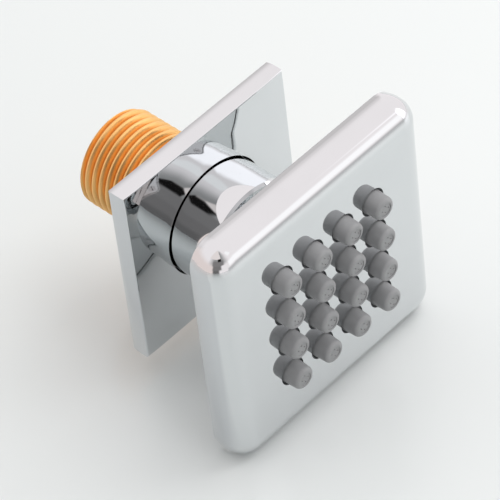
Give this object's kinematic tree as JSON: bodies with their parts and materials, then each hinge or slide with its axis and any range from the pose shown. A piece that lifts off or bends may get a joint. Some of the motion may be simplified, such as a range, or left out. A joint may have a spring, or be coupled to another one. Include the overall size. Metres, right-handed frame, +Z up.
{
  "type": "wall shower head",
  "caption": "Square chrome wall shower head on a ball joint, with a threaded brass inlet, a sliding square cover plate on the wall and a grid of soft grey nozzles.",
  "frame": {"origin": "on the inlet's axis where the thread meets the wall", "axes": "+Y along the inlet thread into the wall, -Y the way the water leaves, +Z up"},
  "size_m": [0.056, 0.06, 0.056],
  "materials": {
    "chrome": "polished chrome plate",
    "brass": "bare turned brass",
    "silicone": "satin moulded silicone",
    "rubber": "black moulded rubber",
    "plastic": "moulded white plastic",
    "steel": "plain stainless steel"
  },
  "bodies": {
    "neck": {"inlet_body": "brass", "inlet_filter": "plastic", "flow_restrictor": "plastic", "restrictor_o_ring": "rubber", "seat_o_ring": "rubber", "swivel_nut": "chrome"},
    "flange_ring": {"flange_o_ring": "rubber"},
    "flange": {"wall_flange": "chrome", "flange_gasket": "rubber"},
    "seats": {"rear_seat_ring": "plastic", "front_seat_ring": "plastic"},
    "ball": {"swivel_ball": "chrome"},
    "head": {"stem_o_ring": "rubber", "back_cover": "chrome", "cover_screws": "steel", "chamber_seal": "rubber", "spray_plate": "plastic", "nozzle_mat": "silicone", "face_shell": "chrome"}
  },
  "joints": [
    {"name": "flange_slide", "type": "slide", "parent": "neck", "child": "flange_ring", "axis": [0, -1, 0], "range_m": [0, 0.008]},
    {"name": "flange_turn", "type": "hinge", "parent": "flange_ring", "child": "flange", "pos_m": [0, -0.0021, 0], "axis": [0, -1, 0], "continuous": true},
    {"name": "ball_pan", "type": "hinge", "parent": "neck", "child": "seats", "pos_m": [0, -0.01045, 0], "axis": [0, -1, 0], "continuous": true},
    {"name": "ball_tilt", "type": "hinge", "parent": "seats", "child": "ball", "pos_m": [0, -0.01045, 0], "axis": [1, 0, 0], "range_deg": [-15, 15]},
    {"name": "head_spin", "type": "hinge", "parent": "ball", "child": "head", "pos_m": [0, -0.01045, 0], "axis": [0, -1, 0], "continuous": true}
  ]
}
